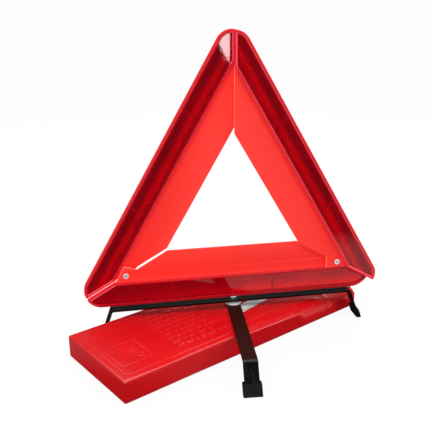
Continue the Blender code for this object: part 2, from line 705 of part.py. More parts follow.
def make_case_end_cap():
    cap = loft("case_end_cap", SEAM_X + SEAM_GAP, CASE_HALF_L, 0.0, RED_CASE)
    bevel(cap, END_CAP_BEVEL, segments=2, angle=50)
    cavity = loft("cap_cavity", SEAM_X - END_CAP_OVERRUN, CASE_HALF_L - CASE_END, CASE_WALL)
    boolean(cap, cavity, solver="MANIFOLD")
    for i, x in enumerate(GRIPS_X):
        for sign in (-1, 1):
            groove = box("grip_%d_%d" % (i, sign > 0), GRIP_SIZE, None, CASE,
                         (x, sign * CASE_HALF_W, GRIP_Z))
            boolean(cap, groove, solver="MANIFOLD")


def make_case_label():
    """Blank label on the top of the case."""
    box("case_label", (LABEL_L, LABEL_W, LABEL_T), WHITE_PAPER, CASE,
        (LABEL_X, LABEL_Y, CASE_H + GAP + LABEL_T / 2), (0, 0, math.radians(LABEL_ANGLE)))


base_channel, base_lenses = make_base_arm()
make_left_arm()
make_right_arm()
make_pivots()
make_apex_hook()
make_apex_catch()
make_stand()
make_leg_rests()
make_centre_rivet()
cut_centre_seat(base_channel, base_lenses)
make_centre_spring()
make_centre_washer()
make_case_body()
make_case_end_cap()
make_case_label()
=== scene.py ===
"""Looks of the folding warning triangle, its stand and its storage case.

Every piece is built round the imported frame, in metres, with +Z up and the
front towards -Y; named sizes are in millimetres.  The three arms share one set
of arm coordinates: x along the arm, y its depth (front is negative) and z
inward from the arm's outer edge.  The case has its own: x along it, towards
the cap, y across it and z up from its underside.
"""
import json
from math import cos, pi, radians, sin, sqrt

import bmesh
import bpy
import numpy as np
from mathutils import Matrix, Vector


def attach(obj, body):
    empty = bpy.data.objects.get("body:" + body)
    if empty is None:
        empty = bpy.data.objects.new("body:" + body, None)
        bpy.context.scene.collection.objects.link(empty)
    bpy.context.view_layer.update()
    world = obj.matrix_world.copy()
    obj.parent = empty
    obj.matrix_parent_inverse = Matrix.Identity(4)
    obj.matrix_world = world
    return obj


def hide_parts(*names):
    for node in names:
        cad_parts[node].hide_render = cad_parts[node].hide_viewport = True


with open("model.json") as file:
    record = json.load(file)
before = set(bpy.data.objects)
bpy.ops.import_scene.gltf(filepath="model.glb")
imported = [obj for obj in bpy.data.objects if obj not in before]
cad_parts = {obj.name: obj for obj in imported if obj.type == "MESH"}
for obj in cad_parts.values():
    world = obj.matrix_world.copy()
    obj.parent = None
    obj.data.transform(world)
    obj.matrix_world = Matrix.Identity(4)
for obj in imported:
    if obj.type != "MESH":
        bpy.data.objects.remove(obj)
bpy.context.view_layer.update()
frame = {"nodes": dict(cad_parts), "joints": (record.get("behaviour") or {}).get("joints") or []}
NODES = frame["nodes"]
SCENE = bpy.context.scene
MM = 0.001

# ------------------------------------------------------------ arms and lenses
JOINTS = {joint["name"]: joint for joint in frame["joints"]}
LEFT_PIVOT, RIGHT_PIVOT = (Vector(JOINTS[side + "_arm_fold"]["pos_m"]) * 1000.0
                           for side in ("left", "right"))
MIDDLE_X = (LEFT_PIVOT.x + RIGHT_PIVOT.x) / 2.0
PIVOT_REACH = (RIGHT_PIVOT.x - LEFT_PIVOT.x) / 2.0
ARM_PITCH = LEFT_PIVOT.y              # depth from the base arm to either side arm
PIVOT_INSET = 47.85                   # arm z of the pivots
BASE_Z = LEFT_PIVOT.z - PIVOT_INSET
HALF_ARM = 250.0                      # to the point of the mitre, at z = 0
COT30 = sqrt(3.0)
RIM_OUTER, RIM_INNER = 3.4, 34.6      # arm z of the lens recess
MITRE_GAP, END_WALL, LENS_GAP = 0.25, 2.2, 0.3
LENS_INSET = MITRE_GAP + END_WALL + LENS_GAP     # square to the mitred end
LENS_BACK, LENS_FACE = 1.1, 3.1       # depths from the arm's mid plane
LENS_RIM_W, COVER_MARGIN = 0.95, 1.05
COVER_BACK, COVER_FACE = 2.15, LENS_FACE - 0.06
PRISM_TIP, PRISM_PITCH = 2.05, 2.7
PRISM_BASE_SHARE = 0.35               # slab's share of the prism sheet's depth
SEAM_HALF_W = 0.7
CORNER_STEPS = 16
# each pair is for the -x end and the +x end
CORNER_RADII = {"base": (26.0, 32.0), "left": (24.5, 24.5), "right": (24.5, 24.5)}
END_LAPS = {"base": (0.0, 0.0), "left": (4.2, 0.0), "right": (0.0, 0.0)}
SEAMS = {"base": (-96.0, 64.0), "left": (-96.0, 70.0), "right": (78.0, -74.0)}   # arm x
BODY = {"base": "base", "left": "left_arm", "right": "right_arm"}

# ----------------------------------------------------------------------- case
CASE_L, CASE_W, CASE_H = 456.0, 159.0, 35.0
HALF_L, HALF_W = CASE_L / 2, CASE_W / 2
CASE_WALL, CASE_END, CASE_EDGE_R, CASE_END_R = 1.6, 1.5, 4.0, 3.0
CASE_CX, CASE_CY, CASE_ANGLE, CASE_LIFT = -19.7, -9.1, 28.7, 0.3
CAP_L, NECK_L, NECK_ROOT_L, SEAM_GAP = 66.0, 34.0, 12.0, 0.15
CAP_X = HALF_L - CAP_L
# the top edges fall away as shoulders: they grow between these x, then run on
SHOULDER_X0, SHOULDER_X1 = -41.0, -13.0
SHOULDER_W, SHOULDER_H0, SHOULDER_H1 = 18.0, 4.0, 11.0
GRIP_XS, GRIP_Z = (179.0, 188.0, 197.0), 12.0
GRIP_SIZE, GRIP_ROUND = (3.0, 1.9, 16.0), 0.8


def shift(x, y, z):
    return Matrix.Translation((x * MM, y * MM, z * MM))


def side_arm_frame(pivot, side):
    """Frame of a side arm; side is -1 at the left and 1 at the right."""
    return (shift(pivot.x, 0, pivot.z) @ Matrix.Rotation(radians(-120 * side), 4, "Y")
            @ shift(side * PIVOT_REACH, -side * ARM_PITCH, -PIVOT_INSET))


CENTRE_FRAME = shift(MIDDLE_X, 0, BASE_Z)
ARM_FRAMES = {
    "base": CENTRE_FRAME,
    "left": side_arm_frame(LEFT_PIVOT, -1),
    "right": side_arm_frame(RIGHT_PIVOT, 1),
}
CASE_FRAME = (shift(MIDDLE_X + CASE_CX, CASE_CY, CASE_LIFT)
              @ Matrix.Rotation(radians(CASE_ANGLE), 4, "Z"))


# ------------------------------------------------------------------ node trees
class Graph:
    """Writes a node tree; an input takes a constant, a socket or a node's first output."""

    def __init__(self, owner, output):
        owner.use_nodes = True
        self.owner = owner
        self.tree = owner.node_tree
        self.tree.nodes.clear()
        self.output = self.node(output)

    def put(self, socket, value):
        if isinstance(value, bpy.types.Node):
            value = value.outputs[0]
        if isinstance(value, bpy.types.NodeSocket):
            self.tree.links.new(value, socket)
        elif socket.type == "RGBA":
            socket.default_value = (*value, 1.0)
        else:
            socket.default_value = value

    def node(self, kind, *ordered, **named):
        """Ordered values fill the inputs in turn; named ones an input or a setting."""
        node = self.tree.nodes.new("ShaderNode" + kind)
        for key, value in named.items():
            label = key.replace("_", " ")
            socket = next((s for s in node.inputs if s.name.lower() == label), None)
            if socket is None:
                setattr(node, key, value)
            else:
                self.put(socket, value)
        for socket, value in zip(node.inputs, ordered):
            self.put(socket, value)
        return node

    def coords(self, scale, turn=0.0):
        """Object coordinates, scaled per axis and turned about z."""
        source = self.node("TexCoord").outputs["Object"]
        return self.node("Mapping", vector=source, scale=scale, rotation=(0, 0, turn))

    def noise(self, scale, detail=3.0, roughness=0.5, point=None):
        return self.node("TexNoise", vector=point or self.point, scale=scale, detail=detail,
                         roughness=roughness)

    def stretched(self, stretch, detail=3.0, roughness=0.5, turn=0.0):
        """Noise with its own number of cells per metre along each axis."""
        return self.noise(1.0, detail, roughness, self.coords(stretch, turn))

    def voronoi(self, scale):
        return self.node("TexVoronoi", vector=self.point, scale=scale)

    def remap(self, value, span=(0.3, 0.7), to=(0.0, 1.0)):
        """Carries span onto to, clamped; the default span suits noise."""
        return self.node("MapRange", value, *span, *to)

    def math(self, operation, first, second=0.0):
        return self.node("Math", first, second, 0.0, operation=operation)

    def add(self, first, second):
        return self.math("ADD", first, second)

    def multiply(self, first, second):
        return self.math("MULTIPLY", first, second)

    def blend(self, first, second, share):
        """Weighted sum; share is the weight of the first."""
        return self.add(self.multiply(first, share), self.multiply(second, 1.0 - share))

    def mix(self, amount, base, tint):
        """Colour that goes from base to tint as amount goes from 0 to 1."""
        node = self.node("Mix", data_type="RGBA")
        for index, value in ((0, amount), (6, base), (7, tint)):
            self.put(node.inputs[index], value)
        return node.outputs[2]

    def ramp(self, value, stops):
        """Grey ramp through (position, level) stops."""
        node = self.node("ValToRGB", value)
        elements = node.color_ramp.elements
        while len(elements) < len(stops):
            elements.new(0.5)
        for element, (position, level) in zip(elements, stops):
            element.position = position
            element.color = (level, level, level, 1.0)
        return node

    def bump(self, height, distance, strength):
        return self.node("Bump", height=height, distance=distance, strength=strength)

    def edges(self, span=(0.5, 0.56), to=(0.0, 1.0)):
        """Pointiness, which is over 0.5 on convex edges and under it in hollows."""
        return self.remap(self.node("NewGeometry").outputs["Pointiness"], span, to)

    def split(self, vector):
        return tuple(self.node("SeparateXYZ", vector=vector).outputs)

    def normal(self):
        """The x, y and z of the surface normal."""
        return self.split(self.node("TexCoord").outputs["Normal"])

    def finish(self, shader):
        self.put(self.output.inputs[0], shader)
        return self.owner

    def principled(self, **values):
        return self.finish(self.node("BsdfPrincipled", **values))


def material_graph(name, scale=1000.0):
    """New material; its point is in millimetres at the default scale."""
    mat = Graph(bpy.data.materials.new(name), "OutputMaterial")
    mat.point = mat.coords((scale, scale, scale))
    return mat


# ------------------------------------------------------------------- materials
def red_frame(name, low=False):
    """Gloss red plastic: faint flow marks, fine orange peel, a painted highlight
    that lightens the edges and a faint painted glow; low paints shade on the outer wall."""
    mat = material_graph(name)
    flow = mat.stretched((20, 1000, 260), detail=4, roughness=0.6)
    cloud = mat.noise(scale=0.03)
    color = mat.mix(mat.remap(flow, span=(0.35, 0.7)),
                    base=(0.84, 0.006, 0.012), tint=(0.96, 0.009, 0.018))
    color = mat.mix(mat.remap(cloud, to=(0.0, 0.5)), color, tint=(0.78, 0.004, 0.010))
    # painted highlight: the frame's edges are lightened to stand in for light on them
    edge_wear_and_highlight = mat.remap(mat.edges(), span=(0.0, 1.0), to=(0.0, 0.30))
    color = mat.mix(edge_wear_and_highlight, color, tint=(1.0, 0.10, 0.11))
    if low:
        # painted shade on the outer wall, below the lens recess
        height = mat.split(mat.point)[2]
        wall = mat.remap(height, span=(RIM_OUTER - 0.3, RIM_OUTER + 0.3), to=(1.0, 0.0))
        color = mat.mix(wall, color, tint=(0.50, 0.0, 0.006))
    gloss = mat.noise(scale=0.6, detail=4, roughness=0.6)
    peel = mat.noise(scale=0.9, detail=2)
    grain = mat.noise(scale=6.0, detail=2)
    relief = mat.blend(peel, grain, share=0.7)
    # the emission is a painted glow, fainter on the shaded copy
    return mat.principled(
        base_color=color, roughness=mat.remap(gloss, to=(0.22, 0.34)),
        normal=mat.bump(relief, distance=0.00004, strength=0.5), specular_ior_level=0.32,
        emission_color=color, emission_strength=0.03 if low else 0.10)


def fluorescent():
    """Fluorescent red sheet: very even, glowing colour, a painted highlight and glow
    along its edges and cut faces, with a faint wave and fine grain."""
    mat = material_graph("fluorescent_red_sheet")
    wave = mat.stretched((12, 1000, 12))
    streak = mat.stretched((6, 1000, 300), detail=4, roughness=0.6)
    broad = mat.stretched((7, 1000, 7), detail=2, roughness=0.4)
    color = mat.mix(mat.remap(wave), base=(1.0, 0.002, 0.0015), tint=(1.0, 0.008, 0.006))
    color = mat.mix(mat.remap(broad, span=(0.35, 0.65), to=(0.0, 0.6)), color,
                    tint=(0.90, 0.0005, 0.0005))
    color = mat.mix(mat.remap(streak, span=(0.4, 0.75), to=(0.0, 0.35)), color,
                    tint=(1.0, 0.022, 0.016))
    # painted highlight and glow along the edges and cut faces
    edge = mat.edges(span=(0.5, 0.54))
    color = mat.mix(mat.remap(edge, span=(0.0, 1.0), to=(0.0, 0.5)), color,
                    tint=(1.0, 0.10, 0.08))
    cut = mat.remap(mat.math("ABSOLUTE", mat.normal()[1]), span=(0.2, 0.6), to=(1.0, 0.0))
    color = mat.mix(cut, color, tint=(1.0, 0.22, 0.18))
    relief = mat.blend(wave, mat.noise(scale=3.0, roughness=0.6), share=0.5)
    gloss = mat.noise(scale=0.4, detail=4, roughness=0.6)
    lit = mat.math("MAXIMUM", mat.multiply(edge, 0.2), cut)
    return mat.principled(
        base_color=color, roughness=mat.remap(gloss, to=(0.36, 0.5)),
        normal=mat.bump(relief, distance=0.00003, strength=0.5), specular_ior_level=0.12,
        emission_color=color,
        emission_strength=mat.remap(lit, span=(0.0, 1.0), to=(0.07, 0.9)))


def lens_cover():
    """Clear red lens: tinted, glossy and very slightly wavy, with a faint painted blue glow."""
    mat = material_graph("red_lens_cover")
    wave = mat.stretched((25, 1000, 120))
    fine = mat.noise(scale=1.4, roughness=0.6)
    normal = mat.bump(mat.blend(wave, fine, share=0.8), distance=0.00004, strength=0.10)
    tint = mat.mix(mat.remap(wave), base=(0.97, 0.12, 0.14), tint=(0.99, 0.14, 0.16))
    clear = mat.node("BsdfTransparent", color=tint)
    gloss = mat.node("BsdfGlossy", color=(1.0, 0.93, 0.94),
                     roughness=mat.remap(fine, to=(0.02, 0.05)), normal=normal)
    fresnel = mat.node("Fresnel", ior=1.46, normal=normal)
    # painted blue glow: a faint emission over the cover
    painted_blue_glow = mat.node("Emission", color=(0.05, 0.17, 1.0), strength=0.0035)
    lens = mat.node("MixShader", fresnel, clear, gloss)
    return mat.finish(mat.node("AddShader", lens, painted_blue_glow))


# (place from the outer to the inner rim, brightness): bands of painted light and shade
PRISM_FIELDS = (
    (0.0, 0.50), (0.14, 0.44), (0.24, 0.34), (0.36, 0.38), (0.46, 0.60),
    (0.56, 0.88), (0.70, 0.86), (0.80, 0.54), (0.90, 0.66), (1.0, 0.60))
LOW_PRISM_FIELDS = (
    (0.0, 0.95), (0.16, 0.95), (0.30, 0.80), (0.42, 0.66), (0.54, 0.56),
    (0.66, 0.50), (0.78, 0.44), (0.86, 0.48), (0.94, 0.58), (1.0, 0.64))


def prism_sheet(name, fields, glow, left):
    """Moulded prisms behind the lens: lengthwise fields of painted light and shade,
    painted glints in the cells, every cell a little different, and a painted glow;
    left is the level of painted light at the -x end."""
    mat = material_graph(name)
    x, _, height = mat.split(mat.point)
    soft = mat.stretched((14, 1000, 60), roughness=0.6)
    waver = mat.remap(mat.stretched((9, 0, 0), detail=2), to=(-1.6, 1.6))
    place = mat.remap(mat.add(height, waver), span=(RIM_OUTER, RIM_INNER))
    # lengthwise bands of painted light and shade
    field = mat.ramp(place, fields)
    cells = mat.voronoi(scale=0.32)
    # painted glints near the cell centres
    painted_glint = mat.multiply(mat.remap(cells, span=(0.0, 0.9), to=(1.0, 0.0)), 0.2)
    random = mat.node("SeparateColor", color=cells.outputs["Color"])
    level = mat.multiply(field, mat.remap(soft, span=(0.25, 0.75), to=(0.7, 1.25)))
    level = mat.multiply(level, mat.remap(random, span=(0.0, 1.0), to=(0.82, 1.15)))
    level = mat.add(level, mat.multiply(painted_glint, field))
    # painted shade towards the -x end
    level = mat.multiply(level, mat.remap(x, span=(-80.0, 40.0), to=(left, 1.0)))
    color = mat.mix(mat.math("MINIMUM", level, 1.0),
                    base=(0.20, 0.0, 0.001), tint=(1.0, 0.02, 0.03))
    return mat.principled(base_color=color, roughness=0.24, specular_ior_level=0.12,
                          emission_color=color, emission_strength=glow)


def lens_border(name, dark, light, specular=0.5, tip=0.6, both=True, glow=0.0):
    """Welded rim of a lens.  Its slanted end gets a painted highlight and glow by
    tip: both ends, or only the one at -x; glow is the painted light it gives elsewhere."""
    mat = material_graph(name)
    fine = mat.noise(scale=0.5)
    cloud = mat.noise(scale=0.06, detail=2)
    color = mat.mix(mat.remap(fine), dark, light)
    color = mat.mix(mat.remap(cloud, span=(0.35, 0.7), to=(0.0, 0.5)), color, dark)
    x, _, height = mat.split(mat.point)
    reach = HALF_ARM - 2.0 * LENS_INSET
    along = mat.math("ABSOLUTE", x) if both else mat.multiply(x, -1.0)
    end = mat.remap(mat.add(along, mat.multiply(height, COT30)),
                    span=(reach - 2.6, reach - 1.8))
    # painted highlight on the slanted end
    color = mat.mix(mat.multiply(end, tip), color, tint=(1.0, 0.20, 0.28))
    return mat.principled(
        base_color=color, roughness=0.18, specular_ior_level=specular,
        normal=mat.bump(mat.noise(scale=2.0, detail=2), distance=0.00003, strength=0.4),
        emission_color=(1.0, 0.22, 0.32),
        emission_strength=mat.remap(end, span=(0.0, 1.0), to=(glow, 0.45 * tip + glow)))


def black_paint(name, cross=False):
    """Black enamel on strip steel: satin gloss, fine orange peel and bare
    bright wear on the sharpest edges, with a painted teal sheen on level faces;
    cross gives the cross bar's painted light instead: a painted reddish reflection
    on level faces and a painted highlight along the bend."""
    mat = material_graph(name)
    cloud = mat.remap(mat.noise(scale=0.05, detail=4, roughness=0.6))
    _, normal_y, normal_z = mat.normal()
    level = mat.remap(normal_z, span=(0.88, 0.98))
    if cross:
        color = mat.mix(cloud, base=(0.0022, 0.0022, 0.0022), tint=(0.0045, 0.0045, 0.0042))
        # painted reflection: level faces of the cross bar turn reddish
        color = mat.mix(level, color, tint=(0.026, 0.006, 0.0045))
        # painted highlight along the bend, where the faces slant
        slanted = mat.multiply(mat.remap(normal_z, span=(0.62, 0.72)),
                               mat.remap(normal_z, span=(0.95, 0.98), to=(1.0, 0.0)))
        sideways = mat.remap(mat.math("ABSOLUTE", normal_y), span=(0.20, 0.35))
        color = mat.mix(mat.multiply(sideways, slanted), color, tint=(0.048, 0.048, 0.046))
        specular = 0.03
    else:
        color = mat.mix(cloud, base=(0.008, 0.0025, 0.002), tint=(0.014, 0.005, 0.004))
        # painted sheen: level faces of the long bar turn teal
        color = mat.mix(level, color, tint=(0.013, 0.019, 0.019))
        specular = mat.remap(level, span=(0.0, 1.0), to=(0.03, 0.42))
    chips = mat.remap(mat.noise(scale=0.5, detail=5, roughness=0.7), span=(0.5, 0.66))
    wear = mat.multiply(mat.edges(span=(0.53, 0.60)), chips)
    color = mat.mix(mat.multiply(wear, 0.5), color, tint=(0.22, 0.21, 0.20))
    gloss = mat.noise(scale=0.35, detail=4, roughness=0.6)
    relief = mat.blend(mat.noise(scale=0.8, detail=2), mat.noise(scale=5.0, detail=2), share=0.7)
    return mat.principled(
        base_color=color, roughness=mat.remap(gloss, to=(0.26, 0.42)),
        normal=mat.bump(relief, distance=0.00006, strength=0.6), specular_ior_level=specular)


def bright_steel():
    """Zinc-plated steel: fine turned lines, small dull patches, painted shade in
    the hollows and a faint painted glow.
    """
    mat = material_graph("zinc_steel")
    rings = mat.stretched((300, 300, 6000), detail=2)
    patch = mat.noise(scale=0.8, detail=4, roughness=0.6)
    color = mat.mix(mat.remap(patch, span=(0.35, 0.7)),
                    base=(0.80, 0.81, 0.83), tint=(0.58, 0.59, 0.60))
    # painted shade in the hollows
    hollow_shade = mat.edges(span=(0.40, 0.49), to=(1.0, 0.0))
    color = mat.mix(mat.multiply(hollow_shade, 0.7), color, tint=(0.06, 0.06, 0.065))
    # the emission is a faint painted glow
    return mat.principled(
        base_color=color, metallic=0.40, roughness=mat.remap(patch, to=(0.14, 0.32)),
        emission_color=color, emission_strength=0.22,
        normal=mat.bump(rings, distance=0.00003, strength=0.5))


def bore_shade():
    """Painted shade: dull near-black for the inside of a rivet."""
    mat = material_graph("rivet_bore_painted_shade")
    grain = mat.noise(scale=2.0)
    return mat.principled(
        base_color=mat.mix(grain, base=(0.004, 0.004, 0.004), tint=(0.016, 0.016, 0.016)),
        specular_ior_level=0.1, roughness=0.5,
        normal=mat.bump(grain, distance=0.00003, strength=0.5))


def rubber():
    """Black rubber: matt, fine grain, a little dusty."""
    mat = material_graph("black_rubber_grain")
    grain = mat.noise(scale=2.6, detail=5, roughness=0.7)
    pits = mat.voronoi(scale=1.5)
    dust = mat.remap(mat.noise(scale=0.12, detail=4, roughness=0.6), span=(0.45, 0.75))
    color = mat.mix(dust, base=(0.0025, 0.003, 0.003), tint=(0.009, 0.010, 0.0095))
    edge_wear_and_highlight = mat.remap(mat.edges(span=(0.52, 0.6)), span=(0.0, 1.0), to=(0.0, 0.4))
    color = mat.mix(edge_wear_and_highlight, color, tint=(0.05, 0.05, 0.05))
    return mat.principled(
        base_color=color, roughness=mat.remap(grain, to=(0.55, 0.8)),
        normal=mat.bump(mat.blend(grain, pits, share=0.6), distance=0.00018, strength=0.7),
        specular_ior_level=0.10)


def black_plastic():
    """Satin black nylon with a fine grain."""
    mat = material_graph("black_nylon")
    cloud = mat.noise(scale=1.2, detail=4, roughness=0.6)
    grain = mat.noise(scale=3.0, roughness=0.6)
    return mat.principled(
        base_color=mat.mix(mat.remap(cloud),
                           base=(0.012, 0.012, 0.013), tint=(0.03, 0.03, 0.031)),
        roughness=mat.remap(cloud, to=(0.4, 0.55)),
        normal=mat.bump(grain, distance=0.00006, strength=0.6))


def case_red():
    """Satin red case plastic: fine grain, faint long flow lines and scuffs; a painted
    highlight along the top and bottom edges, painted shade along upright ones and a
    faint painted glow on the sides."""
    mat = material_graph("case_red_plastic")
    flow = mat.stretched((4, 60, 60), detail=4, roughness=0.6)
    cloud = mat.noise(scale=0.018)
    color = mat.mix(mat.remap(flow, span=(0.35, 0.7)),
                    base=(0.66, 0.004, 0.007), tint=(0.75, 0.006, 0.010))
    color = mat.mix(mat.remap(cloud, span=(0.35, 0.7), to=(0.0, 0.6)), color,
                    tint=(0.60, 0.003, 0.006))
    level = mat.math("ABSOLUTE", mat.normal()[2])
    side = mat.remap(level, span=(0.15, 0.6), to=(1.0, 0.0))
    rim = mat.remap(level, span=(0.10, 0.25))
    # painted highlight along the top and bottom edges
    rim_highlight = mat.multiply(mat.edges(span=(0.505, 0.54)), rim)
    color = mat.mix(mat.multiply(rim_highlight, 0.24), color, tint=(1.0, 0.10, 0.10))
    # painted shade along the upright edges
    upright = mat.multiply(mat.edges(span=(0.503, 0.52)),
                           mat.remap(rim, span=(0.0, 1.0), to=(1.0, 0.0)))
    color = mat.mix(mat.multiply(upright, 0.25), color, tint=(0.34, 0.002, 0.004))
    scuff = mat.remap(mat.stretched((18, 240, 240), detail=5, roughness=0.7, turn=0.4),
                      span=(0.6, 0.78))
    grain = mat.noise(scale=2.4, roughness=0.6)
    peel = mat.noise(scale=0.25)
    relief = mat.blend(grain, peel, share=0.35)
    # painted light: the sides glow faintly, less at their upright edges
    side_glow = mat.multiply(mat.remap(side, span=(0.0, 1.0), to=(0.0, 0.075)),
                             mat.remap(upright, span=(0.0, 1.0), to=(1.0, 0.7)))
    return mat.principled(
        base_color=color,
        roughness=mat.add(mat.remap(peel, to=(0.22, 0.32)), mat.multiply(scuff, 0.12)),
        normal=mat.bump(relief, distance=0.00005, strength=0.22),
        specular_ior_level=mat.remap(side, span=(0.0, 1.0), to=(0.25, 0.12)),
        coat_weight=mat.multiply(mat.edges(span=(0.506, 0.520)), rim),
        coat_roughness=0.12, coat_ior=1.65,
        emission_color=(1.0, 0.02, 0.03), emission_strength=side_glow)


def white_paper():
    """Coated white paper: faint fibres, soft grey clouds and slanting streaks of painted shadow.
    """
    mat = material_graph("white_label_paper")
    fibre = mat.stretched((900, 2600, 1000), detail=4, roughness=0.6)
    cloud = mat.noise(scale=0.06)
    color = mat.mix(mat.remap(fibre), base=(0.80, 0.81, 0.81), tint=(0.88, 0.88, 0.87))
    color = mat.mix(mat.remap(cloud, span=(0.35, 0.7), to=(0.0, 0.3)), color,
                    tint=(0.76, 0.77, 0.77))
    # slanting streaks of painted shadow
    streak = mat.stretched((16, 110, 1), detail=2, turn=0.2)
    color = mat.mix(mat.remap(streak, span=(0.42, 0.62), to=(0.0, 0.55)), color,
                    tint=(0.30, 0.31, 0.32))
    return mat.principled(
        base_color=color, roughness=mat.remap(fibre, to=(0.42, 0.55)),
        normal=mat.bump(fibre, distance=0.00002, strength=0.6), specular_ior_level=0.4)


FRAME, FLUORESCENT = red_frame("red_frame_plastic"), fluorescent()
FRAME_LOW = red_frame("red_frame_shaded_plastic", low=True)
COVER = lens_cover()
PRISMS = prism_sheet("red_lens_prisms", PRISM_FIELDS, glow=0.15, left=1.0)
PRISMS_LOW = prism_sheet("red_lens_prisms_low", LOW_PRISM_FIELDS, glow=0.27, left=0.50)
# the right rim's lighter, pinker colours and the side rims' glow are painted highlight
BORDERS = {
    "base": lens_border("lens_rim_base", dark=(0.64, 0.004, 0.014), light=(0.78, 0.010, 0.030),
                        specular=0.15, tip=1.0, both=False),
    "left": lens_border("lens_rim_left", dark=(0.62, 0.012, 0.030), light=(0.86, 0.045, 0.080),
                        glow=0.03),
    "right": lens_border("lens_rim_right", dark=(0.72, 0.04, 0.07), light=(0.92, 0.14, 0.20),
                         glow=0.16),
}
PAINT_CROSS = black_paint("black_enamel_cross_bar", cross=True)
PAINT, STEEL, BORE = black_paint("black_enamel_steel"), bright_steel(), bore_shade()
RUBBER, NYLON, CASE_RED, PAPER = rubber(), black_plastic(), case_red(), white_paper()


# -------------------------------------------------------------------- building
def smooth_shade(mesh, angle):
    mesh.shade_smooth()
    mesh.set_sharp_from_angle(angle=radians(angle))


def link_object(name, data):
    item = bpy.data.objects.new(name, data)
    SCENE.collection.objects.link(item)
    return item


def add_piece(name, mesh, material, body, matrix=None, replaces=None, smooth=35.0):
    """Object that rides on a body; replaces names the CAD node it stands for."""
    piece = link_object(name, mesh)
    if matrix is not None:
        piece.matrix_world = matrix
    mesh.materials.clear()
    for item in material if isinstance(material, list) else [material]:
        mesh.materials.append(item)
    smooth_shade(mesh, smooth)
    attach(piece, body)
    if replaces:
        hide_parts(replaces)
    return piece


def bevel(piece, width, segments=2, angle=40.0):
    edges = piece.modifiers.new("edges", "BEVEL")
    edges.width = width * MM
    edges.segments = segments
    edges.limit_method = "ANGLE"
    edges.angle_limit = radians(angle)
    edges.use_clamp_overlap = True
    edges.harden_normals = False


def to_mesh(work, name, outward=True):
    """Turns the bmesh into a mesh, its faces turned outward unless told not to."""
    if outward:
        bmesh.ops.recalc_face_normals(work, faces=work.faces)
    mesh = bpy.data.meshes.new(name)
    work.to_mesh(mesh)
    work.free()
    return mesh


def merge_flat(work, distance, angle):
    """Joins doubled vertices (metres) and faces that lie flat (degrees)."""
    bmesh.ops.remove_doubles(work, verts=work.verts, dist=distance)
    bmesh.ops.dissolve_limit(work, angle_limit=radians(angle), verts=work.verts,
                             edges=work.edges, use_dissolve_boundaries=False)


def refine(node, suffix, material, body, width, segments=2, matrix=None, angle=40.0):
    """The CAD node's own shape with clean faces and rounded edges."""
    work = bmesh.new()
    work.from_mesh(NODES[node].data)
    merge_flat(work, distance=2e-6, angle=0.7)
    mesh = to_mesh(work, node + suffix)
    if matrix is not None:
        mesh.transform(matrix.inverted())
    bevel(add_piece(node + suffix, mesh, material, body, matrix, node),
          width, segments, angle)


def quarter(steps, first, last):
    """Angles first to last of a quarter turn cut into steps."""
    return [pi / 2 * i / steps for i in range(first, last + 1)]


LATHE_SEGMENTS = 64


def lathe(name, profile, material, matrix, replaces, shade_rings=0):
    """Turned piece about local Z from (radius, z) points.  A profile that starts
    off the axis is closed on itself; the first shade_rings take material 1, the
    painted shade inside a bore."""
    work = bmesh.new()
    rings = []
    for radius, z in profile:
        if radius < 1e-6:
            rings.append([work.verts.new((0, 0, z * MM))])
        else:
            turns = [2 * pi * i / LATHE_SEGMENTS for i in range(LATHE_SEGMENTS)]
            rings.append([work.verts.new((radius * MM * cos(turn), radius * MM * sin(turn),
                                          z * MM)) for turn in turns])
    following = rings[1:]
    if len(rings[0]) > 1:
        following.append(rings[0])
    for index, (ring, after) in enumerate(zip(rings, following)):
        for i in range(LATHE_SEGMENTS):
            j = (i + 1) % LATHE_SEGMENTS
            if len(ring) == 1:
                corners = (ring[0], after[i], after[j])
            elif len(after) == 1:
                corners = (ring[i], after[0], ring[j])
            else:
                corners = (ring[i], after[i], after[j], ring[j])
            face = work.faces.new(corners)
            if index < shade_rings:
                face.material_index = 1
    add_piece(name, to_mesh(work, name), material, "base", matrix, replaces, 40.0)


# ---------------------------------------------------------------- arm outlines
def mitre_x(z, inset):
    return HALF_ARM - z * COT30 - inset * 2.0


def corner_arc(inset_z, inset_end, radius):
    """Points (x, z) round the +x corner, from the lower edge to the mitred end."""
    centre_x, centre_z = HALF_ARM - radius * COT30, radius
    arc_r = radius - inset_z
    low, high = -90.0, 0.0
    for _ in range(50):                # halving finds where the arc meets the end
        middle = (low + high) / 2
        x = centre_x + arc_r * cos(radians(middle))
        z = centre_z + arc_r * sin(radians(middle))
        if (HALF_ARM - x) * 0.5 - z * cos(radians(30.0)) > inset_end:
            low = middle
        else:
            high = middle
    angles = [radians(-90 + (low + 90) * i / CORNER_STEPS) for i in range(CORNER_STEPS + 1)]
    return [(centre_x + arc_r * cos(a), centre_z + arc_r * sin(a)) for a in angles]


def lens_outline(arm, margin=0.0):
    """Outline (x, z) of the arm's lens, drawn in by margin."""
    z0, z1 = RIM_OUTER + LENS_GAP + margin, RIM_INNER - LENS_GAP - margin
    radius_l, radius_r = CORNER_RADII[arm]
    inset_l, inset_r = (LENS_INSET + margin - lap for lap in END_LAPS[arm])
    right = corner_arc(z0, inset_r, radius_r)
    left = [(-x, z) for x, z in corner_arc(z0, inset_l, radius_l)]
    return right + [(mitre_x(z1, inset_r), z1), (-mitre_x(z1, inset_l), z1)] + left[::-1]


def inside(outline, x, z):
    """Even-odd test of arrays x, z against a closed outline."""
    hit = np.zeros(x.shape, bool)
    for i, (x0, z0) in enumerate(outline):
        x1, z1 = outline[(i + 1) % len(outline)]
        if z0 != z1:
            hit ^= ((z0 > z) != (z1 > z)) & (x < (x1 - x0) * (z - z0) / (z1 - z0) + x0)
    return hit


